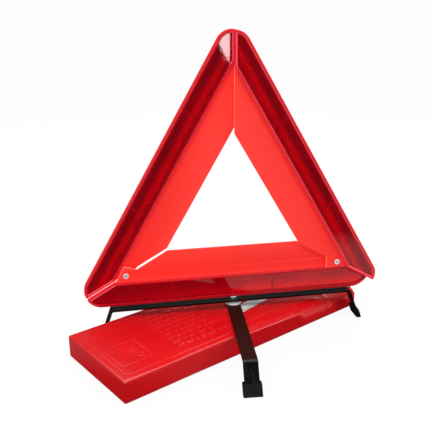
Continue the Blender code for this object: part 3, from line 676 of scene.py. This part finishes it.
def plate_mesh(name, rings, y0, y1):
    """Flat solid between depths y0 and y1: an outline in arm x, z and any holes."""
    curve = bpy.data.curves.new(name, "CURVE")
    curve.dimensions = "2D"
    curve.fill_mode = "BOTH"
    curve.extrude = abs(y1 - y0) * MM / 2
    for ring in rings:
        spline = curve.splines.new("POLY")
        spline.points.add(len(ring) - 1)
        for point, (x, z) in zip(spline.points, ring):
            point.co = (x * MM, z * MM, 0.0, 1.0)
        spline.use_cyclic_u = True
    outline = link_object(name + "_curve", curve)
    depsgraph = bpy.context.evaluated_depsgraph_get()
    mesh = bpy.data.meshes.new_from_object(outline.evaluated_get(depsgraph))
    bpy.data.objects.remove(outline, do_unlink=True)
    work = bmesh.new()
    work.from_mesh(mesh)
    merge_flat(work, distance=1e-6, angle=0.5)
    upright = shift(0, (y0 + y1) / 2, 0) @ Matrix.Rotation(pi / 2, 4, "X")
    bmesh.ops.transform(work, matrix=upright, verts=work.verts)
    bmesh.ops.recalc_face_normals(work, faces=work.faces)
    work.to_mesh(mesh)
    work.free()
    mesh.name = name
    return mesh


def prism_mesh(name, outline, side, seams):
    """Closed sheet with a triangular lattice of three-sided pyramids, parted
    at the seams; side is -1 for the front."""
    xs = np.array([x for x, _ in outline])
    zs = np.array([z for _, z in outline])
    row_h = PRISM_PITCH * sqrt(3) / 2
    rows = int((zs.max() - zs.min()) / row_h) + 3
    cols = int((xs.max() - xs.min()) / PRISM_PITCH) + 4
    z0, x0 = zs.min() - row_h * 0.5, xs.min() - PRISM_PITCH
    base = LENS_BACK + (PRISM_TIP - LENS_BACK) * PRISM_BASE_SHARE
    work = bmesh.new()

    def point(row, col):
        return x0 + (col + 0.5 * (row % 2)) * PRISM_PITCH, z0 + row * row_h

    usable = {}
    for row in range(rows):
        row_x = np.array([point(row, col)[0] for col in range(cols)])
        good = inside(outline, row_x, np.full(cols, z0 + row * row_h))
        for seam in seams:
            good &= np.abs(row_x - seam) > SEAM_HALF_W
        for col in range(cols):
            usable[(row, col)] = bool(good[col])

    made = {}

    def vert(knot, back):
        key = (knot, back)
        if key not in made:
            x, z = point(*knot)
            depth = LENS_BACK if back else base
            made[key] = work.verts.new((x * MM, side * depth * MM, z * MM))
        return made[key]

    triangles = []
    for row in range(rows - 1):
        for col in range(cols - 1):
            here, beside = (row, col), (row, col + 1)
            over, across = (row + 1, col), (row + 1, col + 1)
            if row % 2 == 0:
                pair = ((here, beside, over), (beside, across, over))
            else:
                pair = ((here, across, over), (here, beside, across))
            triangles += [t for t in pair if all(usable[knot] for knot in t)]
    edges = {}
    for triangle in triangles:
        corners = [point(*knot) for knot in triangle]
        tip_x, tip_z = (sum(values) / 3 for values in zip(*corners))
        tip = work.verts.new((tip_x * MM, side * PRISM_TIP * MM, tip_z * MM))
        for i in range(3):
            start, end = triangle[i], triangle[(i + 1) % 3]
            work.faces.new((vert(start, False), vert(end, False), tip))
            edges.setdefault(frozenset((start, end)), []).append((start, end))
        work.faces.new([vert(knot, True) for knot in triangle[::-1]])
    for uses in edges.values():
        if len(uses) == 1:             # an outside edge: close it with a wall
            start, end = uses[0]
            work.faces.new((vert(end, False), vert(start, False),
                            vert(start, True), vert(end, True)))
    return to_mesh(work, name)


# -------------------------------------------------------------------- the arms
def build_lens(arm, face, side):
    """Welded rim, clear cover and prism tiles on one face of an arm."""
    name = f"{arm}_lens_{face}"
    body, matrix = BODY[arm], ARM_FRAMES[arm]
    rings = [lens_outline(arm), lens_outline(arm, LENS_RIM_W)[::-1]]
    mesh = plate_mesh(name + "_rim", rings, side * LENS_BACK, side * LENS_FACE)
    rim = add_piece(name + "_rim", mesh, BORDERS[arm], body, matrix, name)
    bevel(rim, 0.3)
    clear = lens_outline(arm, COVER_MARGIN)
    mesh = plate_mesh(name + "_cover", [clear], side * COVER_BACK, side * COVER_FACE)
    cover = add_piece(name + "_cover", mesh, COVER, body, matrix)
    bevel(cover, 0.3, segments=3)
    mesh = prism_mesh(name + "_prisms", clear, side, SEAMS[arm])
    add_piece(name + "_prisms", mesh, PRISMS_LOW if arm == "base" else PRISMS, body,
              matrix, smooth=5.0)


for arm, body in BODY.items():
    refine(arm + "_channel", "_moulding", FRAME_LOW if arm == "base" else FRAME, body,
           0.45, 3, ARM_FRAMES[arm])
    refine(arm + "_plate", "_sheet", FLUORESCENT, body, 0.3,
           matrix=ARM_FRAMES[arm])
    for face, side in (("front", -1), ("back", 1)):
        build_lens(arm, face, side)
for node, arm in (("apex_hook", "left"), ("apex_catch", "right")):
    refine(node, "_moulding", FRAME, BODY[arm], 0.3, matrix=ARM_FRAMES[arm])

# ------------------------------------------------------------------- the stand
for node, material, body in (("long_leg_bar", PAINT, "base"),
                             ("cross_leg_bar", PAINT_CROSS, "cross_leg")):
    refine(node, "_enamelled", material, body, 0.2, angle=25.0)
for place, body in (("left", "base"), ("right", "base"),
                    ("front", "cross_leg"), ("rear", "cross_leg")):
    refine("rubber_foot_" + place, "_cap", RUBBER, body, 0.35, angle=30.0)
for side in ("left", "right"):
    refine("leg_rest_" + side, "_pad", NYLON, "base", 0.2)
    refine("pivot_bush_" + side, "_ring", NYLON, "base", 0.2)

# ------------------------------------------------------------------ the rivets
RIVET_R, HEAD_R, HEAD_H, BORE_R, BORE_DEPTH = 2.2, 4.5, 1.3, 1.9, 2.4
LIP_W = 0.75                              # rounded lip from the bore to the head
RIVET_HALF = (ARM_PITCH + 3.0) / 2        # half the length between the heads
CENTRE_SHANK_R, CENTRE_TIP_R, CENTRE_HEAD_R, CENTRE_HEAD_Z = 2.0, 2.4, 5.0, -16.0


def pivot_rivet(side, pivot):
    """Rivet through an arm pivot: bored head at the front, plain one at the back."""
    front, back, lip_r = RIVET_HALF, -RIVET_HALF, BORE_R + LIP_W
    floor_z, tail_z = front - BORE_DEPTH, back - 0.15
    profile = [(0.0, floor_z), (BORE_R * 0.7, floor_z), (BORE_R, front - 2.0),
               (BORE_R, front + 0.25)]
    profile += [(lip_r - LIP_W * cos(a), front + 0.45 + 0.85 * sin(a))
                for a in quarter(6, 1, 6)]
    profile += [(lip_r + (HEAD_R - BORE_R - LIP_W) * sin(a),
                 front + 0.35 + (HEAD_H - 0.35) * cos(a)) for a in quarter(8, 1, 8)]
    profile += [(HEAD_R, front + 0.1), (HEAD_R - 0.1, front), (RIVET_R, front),
                (RIVET_R, back), (HEAD_R - 0.1, back), (HEAD_R, tail_z)]
    profile += [(HEAD_R * cos(a), tail_z - (HEAD_H - 0.15) * sin(a)) for a in quarter(8, 1, 7)]
    profile += [(0.0, back - HEAD_H)]
    matrix = shift(pivot.x, pivot.y / 2, pivot.z) @ Matrix.Rotation(pi / 2, 4, "X")
    # the bore's first rings take the painted shade
    lathe(f"pivot_rivet_{side}_turned", profile, [STEEL, BORE], matrix, "pivot_rivet_" + side,
          shade_rings=4)


def centre_rivet():
    """Upright rivet in the middle of the base arm, domed at its lower end."""
    low = CENTRE_HEAD_Z
    profile = [(0.0, 5.0), (1.6, 4.98), (2.2, 4.8), (CENTRE_TIP_R, 4.5),
               (CENTRE_TIP_R, RIM_OUTER + 0.3), (CENTRE_SHANK_R, RIM_OUTER + 0.3),
               (CENTRE_SHANK_R, low), (CENTRE_HEAD_R - 0.1, low), (CENTRE_HEAD_R, low - 0.15)]
    profile += [(CENTRE_HEAD_R * cos(a), low - 0.2 - 0.7 * sin(a)) for a in quarter(8, 1, 7)]
    lathe("centre_rivet_turned", profile + [(0.0, low - 0.9)], STEEL, CENTRE_FRAME,
          "centre_rivet")


# closed (radius, z) profiles of the rings round the centre rivet
SPRING_PROFILE = [
    (2.3, -0.3), (5.6, -0.3), (5.7, -0.4), (5.7, -1.1), (5.6, -1.25), (4.9, -2.3),
    (4.0, -3.4), (3.6, -3.68), (2.3, -3.7)]
WASHER_PROFILE = [
    (2.3, -7.3), (3.5, -7.3), (3.6, -7.4), (3.6, -10.2), (3.75, -10.4), (12.3, -10.4),
    (12.55, -10.6), (12.6, -10.9), (12.6, -11.9), (12.5, -12.25), (12.2, -12.4), (2.3, -12.4)]

pivot_rivet("left", LEFT_PIVOT)
pivot_rivet("right", RIGHT_PIVOT)
centre_rivet()
lathe("centre_spring_cone", SPRING_PROFILE, STEEL, CENTRE_FRAME, "centre_spring")
lathe("centre_washer_turned", WASHER_PROFILE, STEEL, CENTRE_FRAME, "centre_washer")


# ------------------------------------------------------------- the case shells
def smoothstep(t):
    t = min(max(t, 0.0), 1.0)
    return t * t * (3.0 - 2.0 * t)


def section(x, inset, arc_steps=8, curve_steps=18):
    """Outline (y, z) of the case at x, drawn in by inset: rounded lower corners
    and a quadratic curve over each upper corner."""
    grown = smoothstep((x - SHOULDER_X0) / (SHOULDER_X1 - SHOULDER_X0))
    run = min(max((x - SHOULDER_X1) / (HALF_L - SHOULDER_X1), 0.0), 1.0)
    half_w, top, radius = HALF_W - inset, CASE_H - inset, max(CASE_EDGE_R - inset, 0.8)
    fall = SHOULDER_H0 + (SHOULDER_H1 - SHOULDER_H0) * run
    drop = radius + (fall - radius * 0.6) * grown
    wide = radius + (SHOULDER_W - radius) * grown
    flat = 0.72 * grown                # draws the middle control point to the chord
    start, end = (half_w, top - drop), (half_w - wide, top)
    control = (half_w - wide / 2 * flat, top - drop / 2 * flat)
    points = [(half_w - radius + radius * cos(radians(a)),
               inset + radius + radius * sin(radians(a)))
              for a in np.linspace(-90, 0, arc_steps + 1)]
    for i in range(curve_steps + 1):
        t = i / curve_steps
        points.append(tuple((1 - t) ** 2 * a + 2 * t * (1 - t) * b + t * t * c
                            for a, b, c in zip(start, control, end)))
    return points + [(-y, z) for y, z in points[::-1]]


def shell_mesh(name, rings):
    """Closed solid through the case's section at each (x, inset)."""
    work = bmesh.new()
    loops = [[work.verts.new((x * MM, y * MM, z * MM)) for y, z in section(x, inset)]
             for x, inset in rings]
    for loop, after in zip(loops, loops[1:]):
        for i in range(len(loop)):
            j = (i + 1) % len(loop)
            work.faces.new((loop[i], after[i], after[j], loop[j]))
    work.faces.new(loops[0])
    work.faces.new(loops[-1][::-1])
    return to_mesh(work, name)


def stations(x0, x1):
    """Values of x from x0 to x1, dense along the start of the shoulders."""
    low, high = min(x0, x1), max(x0, x1)
    between = [SHOULDER_X0 + (SHOULDER_X1 - SHOULDER_X0) * i / 14 for i in range(15)]
    between += [SHOULDER_X1 + (HALF_L - SHOULDER_X1) * i / 8 for i in range(1, 8)]
    xs = [low] + [x for x in between if low + 0.8 < x < high - 0.8] + [high]
    return xs if x0 < x1 else xs[::-1]


def outer_wall(end_x, seam):
    """Rings of the outside, from its rounded end to the seam."""
    inward = 1 if end_x < 0 else -1
    rings = [(end_x + inward * CASE_END_R * (1 - cos(a)), CASE_END_R * (1 - sin(a)))
             for a in quarter(7, 0, 7)]
    rings += [(x, 0.0) for x in stations(end_x + inward * CASE_END_R, seam - inward * 0.6)[1:]]
    return rings + [(seam - inward * 0.25, 0.08), (seam, 0.4)]


def inner_wall(start_x, end_x):
    """Rings of the inside, back from start_x to the closed end."""
    inward = 1 if end_x < 0 else -1
    floor_x, chamfer = end_x + inward * CASE_END, 1.5
    rings = [(x, CASE_WALL) for x in stations(start_x, floor_x + inward * chamfer)[1:]]
    return rings + [(floor_x, CASE_WALL + chamfer)]


def case_body():
    """Long shell, with the narrower neck that enters the cap."""
    seam, root, neck_end = CAP_X - SEAM_GAP, CAP_X - NECK_ROOT_L, CAP_X + NECK_L
    neck_outer, neck_inner = CASE_WALL + 0.3, 2 * CASE_WALL + 0.3
    rings = outer_wall(-HALF_L, seam)
    rings += [(seam, neck_outer), (neck_end - 0.8, neck_outer), (neck_end, CASE_WALL + 0.8),
              (neck_end, 2 * CASE_WALL + 0.1), (neck_end - 0.3, neck_inner),
              (root, neck_inner), (root, CASE_WALL)]
    rings += inner_wall(root, -HALF_L)
    add_piece("case_body_shell", shell_mesh("case_body_shell", rings), CASE_RED, "case",
              CASE_FRAME, "case_body", 50.0)


def grip_cutter(x, side):
    """Rounded block that cuts a grip groove into one long side of the cap."""
    work = bmesh.new()
    bmesh.ops.create_cube(work, size=1.0)
    bmesh.ops.scale(work, vec=Vector(GRIP_SIZE) * MM, verts=work.verts)
    bmesh.ops.bevel(work, geom=list(work.edges), offset=GRIP_ROUND * MM, segments=3,
                    affect="EDGES", profile=0.5)
    cutter = link_object("grip_cut", to_mesh(work, "grip", outward=False))
    cutter.matrix_world = CASE_FRAME @ shift(x, side * HALF_W, GRIP_Z)
    return cutter


def case_cap():
    """End cap, with upright grip grooves in both long sides."""
    seam = CAP_X + SEAM_GAP
    rings = outer_wall(HALF_L, seam) + [(seam, CASE_WALL - 0.2), (seam + 0.3, CASE_WALL)]
    rings += inner_wall(seam + 0.3, HALF_L)
    cap = add_piece("case_cap_shell", shell_mesh("case_cap_shell", rings), CASE_RED,
                    "case_cap", CASE_FRAME, "case_end_cap", 50.0)
    cutters = [grip_cutter(x, side) for x in GRIP_XS for side in (-1, 1)]
    for cutter in cutters:
        cut = cap.modifiers.new("grip", "BOOLEAN")
        cut.object = cutter
        cut.operation = "DIFFERENCE"
        cut.solver = "MANIFOLD"
    bpy.context.view_layer.update()
    depsgraph = bpy.context.evaluated_depsgraph_get()
    mesh = bpy.data.meshes.new_from_object(cap.evaluated_get(depsgraph))
    cap.modifiers.clear()
    cap.data = mesh
    smooth_shade(mesh, 50.0)
    for cutter in cutters:
        bpy.data.objects.remove(cutter, do_unlink=True)


# --------------------------------------------------------- the case top relief
PANEL_X0, PANEL_X1, PANEL_HALF_W, PANEL_R = -212, 151, 67.0, 7.0


def add_rib(work, path, closed, width, height):
    """Low rounded rib along a path of (x, y) points on the case's top."""
    sink = 0.25
    profile = [(-width / 2, -sink), (-width / 2, height * 0.35), (-width * 0.3, height * 0.9),
               (0, height), (width * 0.3, height * 0.9), (width / 2, height * 0.35),
               (width / 2, -sink)]
    count = len(path)
    rows = []
    for i, (x, y) in enumerate(path):
        before = path[(i - 1) % count if closed else max(i - 1, 0)]
        after = path[(i + 1) % count if closed else min(i + 1, count - 1)]
        along = (Vector(after) - Vector(before)).normalized()
        across = Vector((-along.y, along.x))
        rows.append([work.verts.new(((x + across.x * offset) * MM, (y + across.y * offset) * MM,
                                     (CASE_H + rise) * MM)) for offset, rise in profile])
    for i in range(count if closed else count - 1):
        row, after = rows[i], rows[(i + 1) % count]
        for j in range(len(profile)):
            k = (j + 1) % len(profile)
            work.faces.new((row[j], after[j], after[k], row[k]))
    if not closed:
        work.faces.new(rows[0])
        work.faces.new(rows[-1][::-1])


def rounded_box(x0, x1, y0, y1, radius, steps=5):
    corners = ((x1 - radius, y1 - radius, 0), (x0 + radius, y1 - radius, 90),
               (x0 + radius, y0 + radius, 180), (x1 - radius, y0 + radius, 270))
    return [(x + radius * cos(radians(start + 90 * i / steps)),
             y + radius * sin(radians(start + 90 * i / steps)))
            for x, y, start in corners for i in range(steps + 1)]


def panel_border():
    """Border of the top panel; it follows the shoulders inward."""
    def half_width(x):
        grown = (x - SHOULDER_X0 + 9) / (SHOULDER_X1 - SHOULDER_X0 + 8)
        return PANEL_HALF_W - 12.5 * smoothstep(grown)

    xs = [*np.linspace(PANEL_X0, -54, 6), *np.linspace(-50, -10, 14), 20.0, 60.0, 100.0, 146.0]
    near, far, radius = half_width(PANEL_X0), half_width(150), PANEL_R
    points = [(x, -half_width(x)) for x in xs]
    points += [(PANEL_X1 - radius + radius * sin(a), -far + radius - radius * cos(a))
               for a in quarter(5, 1, 5)]
    points += [(x, -y) for x, y in points[::-1]]
    points += [(PANEL_X0 - radius * sin(a), near - radius + radius * cos(a))
               for a in quarter(5, 1, 5)]
    return points + [(PANEL_X0 - radius * cos(a), -near + radius - radius * sin(a))
                     for a in quarter(5, 0, 4)]


def add_dashes(work):
    """Nine rows of plain dashes, each with a thinner, shorter one beside it at -y."""
    for row in range(9):
        x, y, count = -124.0 + 1.5 * (row % 3), 51.0 - 12.2 * row, row * 7
        while x < -34.0 - 5.0 * (row % 4):
            length = 5.0 + (count * 37 % 11) * 1.1
            add_rib(work, [(x, y), (x + length, y)], False, width=2.6, height=0.20)
            add_rib(work, [(x, y - 4.2), (x + length * 0.7, y - 4.2)], False,
                    width=1.0, height=0.12)
            x += length + 3.4
            count += 1


def case_top_relief():
    """Panel border, a framed box with a ring and four bars, and the dashes."""
    work = bmesh.new()
    add_rib(work, panel_border(), True, width=1.2, height=0.24)
    add_rib(work, rounded_box(-212, -163, -46, 8, 3), True, width=1.0, height=0.22)
    add_rib(work, rounded_box(-180, -171, -37, -28, 4.4, 8), True, width=1.0, height=0.2)
    for i in range(4):
        y = -4 - 8 * i
        add_rib(work, [(-205 + 3 * i, y), (-176 + 2 * i, y)], False, width=1.0, height=0.14)
    add_dashes(work)
    add_piece("case_top_relief", to_mesh(work, "case_top_relief"), CASE_RED, "case",
              CASE_FRAME @ shift(3, 0, 0), smooth=50.0)


case_body()
case_cap()
case_top_relief()
refine("case_label", "_sheet", PAPER, "case", 0.08, 1, CASE_FRAME)


# ---------------------------------------------------------- stage, in metres
def floor_material():
    """Near white to the camera, dull to bounced light, and to shiny surfaces
    dark but for bright patches in front and at the left."""
    mat = material_graph("pale_floor", scale=1.0)
    x, y, _ = mat.split(mat.point)
    pale = mat.mix(mat.noise(scale=2.0, detail=2),
                   base=(0.90, 0.90, 0.90), tint=(0.93, 0.93, 0.93))
    seen = mat.node("MixShader", 0.90, mat.node("BsdfDiffuse", color=pale),
                    mat.node("Emission", color=(1.0, 1.0, 1.0), strength=1.0))
    bounce = mat.node("BsdfDiffuse", color=(0.36, 0.36, 0.36))
    patch = mat.multiply(mat.remap(y, span=(-0.40, -0.30)),
                         mat.remap(y, span=(-0.14, -0.10), to=(1.0, 0.0)))
    patch = mat.multiply(patch, mat.remap(x, span=(-0.13, -0.07)))
    patch = mat.math("MAXIMUM", patch, mat.remap(x, span=(-0.26, -0.22), to=(0.30, 0.0)))
    mirror = mat.node("Emission", color=(1.0, 1.0, 1.0),
                      strength=mat.remap(patch, span=(0.0, 1.0), to=(0.03, 0.8)))
    rays = mat.node("LightPath").outputs
    unseen = mat.node("MixShader", rays["Is Glossy Ray"], bounce, mirror)
    return mat.finish(mat.node("MixShader", rays["Is Camera Ray"], unseen, seen))


def build_floor():
    work = bmesh.new()
    bmesh.ops.create_circle(work, cap_ends=True, segments=96, radius=60.0)
    floor = link_object("studio_floor", to_mesh(work, "studio_floor", outward=False))
    floor.data.materials.append(floor_material())


def build_world():
    """Soft light from above; shiny surfaces mirror a dark room under a bright dome."""
    world = bpy.data.worlds.new("soft_studio")
    SCENE.world = world
    sky = Graph(world, "OutputWorld")
    height = sky.split(sky.node("TexCoord").outputs["Generated"])[2]
    ambient = sky.ramp(sky.remap(height, span=(-0.2, 1.0)), stops=((0.0, 0.30), (1.0, 1.05)))
    dome = sky.remap(height, span=(0.60, 0.72), to=(0.03, 2.0))
    rays = sky.node("LightPath").outputs
    color = sky.mix(rays["Is Glossy Ray"], ambient, dome)
    color = sky.mix(rays["Is Camera Ray"], color, tint=(1.0, 1.0, 1.0))
    sky.finish(sky.node("Background", color=color, strength=1.0))


def area_light(name, place, target, size, power):
    light = bpy.data.lights.new(name, "AREA")
    light.shape = "RECTANGLE"
    light.size, light.size_y = size
    light.energy = power
    lamp = link_object(name, light)
    lamp.location = place
    aim = Vector(target) - Vector(place)
    lamp.rotation_euler = aim.to_track_quat("-Z", "Y").to_euler()
    lamp.visible_camera = False
    lamp.visible_glossy = False


# (x from the middle, z) outline of the card
CARD_OUTLINE = ((0.3472, 0.3583), (0.3119, 0.3276), (0.3042, 0.3063),
                (0.3447, 0.2318), (0.3498, 0.2349), (0.3513, 0.3515))
CARD_Y = -1.8


def mirror_card():
    """Small studio card that only shiny surfaces mirror."""
    mesh = bpy.data.meshes.new("mirror_card")
    mesh.from_pydata([(MIDDLE_X * MM + x, CARD_Y, z) for x, z in CARD_OUTLINE],
                     [], [tuple(range(len(CARD_OUTLINE)))])
    card = link_object("mirror_card", mesh)
    mat = material_graph("card_glow", scale=1.0)
    strength = mat.remap(mat.noise(scale=3.0, detail=2), to=(14.5, 18.5))
    mesh.materials.append(mat.finish(
        mat.node("Emission", color=(0.66, 1.0, 1.0), strength=strength)))
    card.visible_camera = False
    card.visible_diffuse = False
    card.visible_shadow = False


CAMERA_PLACE = (MIDDLE_X * MM - 0.186747, -0.928698, 0.512786)
# radians: yaw from +Y towards -X, pitch downward, roll about the view
YAW, PITCH, ROLL = -0.169206, 0.329804, -0.009955


def build_camera():
    data = bpy.data.cameras.new("camera")
    camera = link_object("camera", data)
    data.sensor_width = 36.0
    data.lens = 54.87
    data.clip_end = 200.0
    forward = Vector((-sin(YAW) * cos(PITCH), cos(YAW) * cos(PITCH), -sin(PITCH)))
    level = Vector((cos(YAW), sin(YAW), 0.0))
    upward = level.cross(forward)
    right = level * cos(ROLL) + upward * sin(ROLL)
    top = -level * sin(ROLL) + upward * cos(ROLL)
    rows = zip(right, top, -forward, CAMERA_PLACE)
    camera.matrix_world = Matrix((*rows, (0, 0, 0, 1)))
    SCENE.camera = camera


build_floor()
build_world()
area_light("key_softbox", place=(-0.5, -0.7, 1.7), target=(0, 0, 0.15), size=(1.4, 1.0), power=13)
area_light("fill_softbox", place=(1.3, -1.2, 0.9), target=(0, 0, 0.2), size=(1.0, 1.0), power=4.5)
area_light("back_softbox", place=(0.2, 1.4, 1.3), target=(0, 0, 0.1), size=(1.6, 0.8), power=6)
mirror_card()
build_camera()
SCENE.view_settings.view_transform = "Standard"
SCENE.view_settings.look = "None"

bpy.context.view_layer.update()
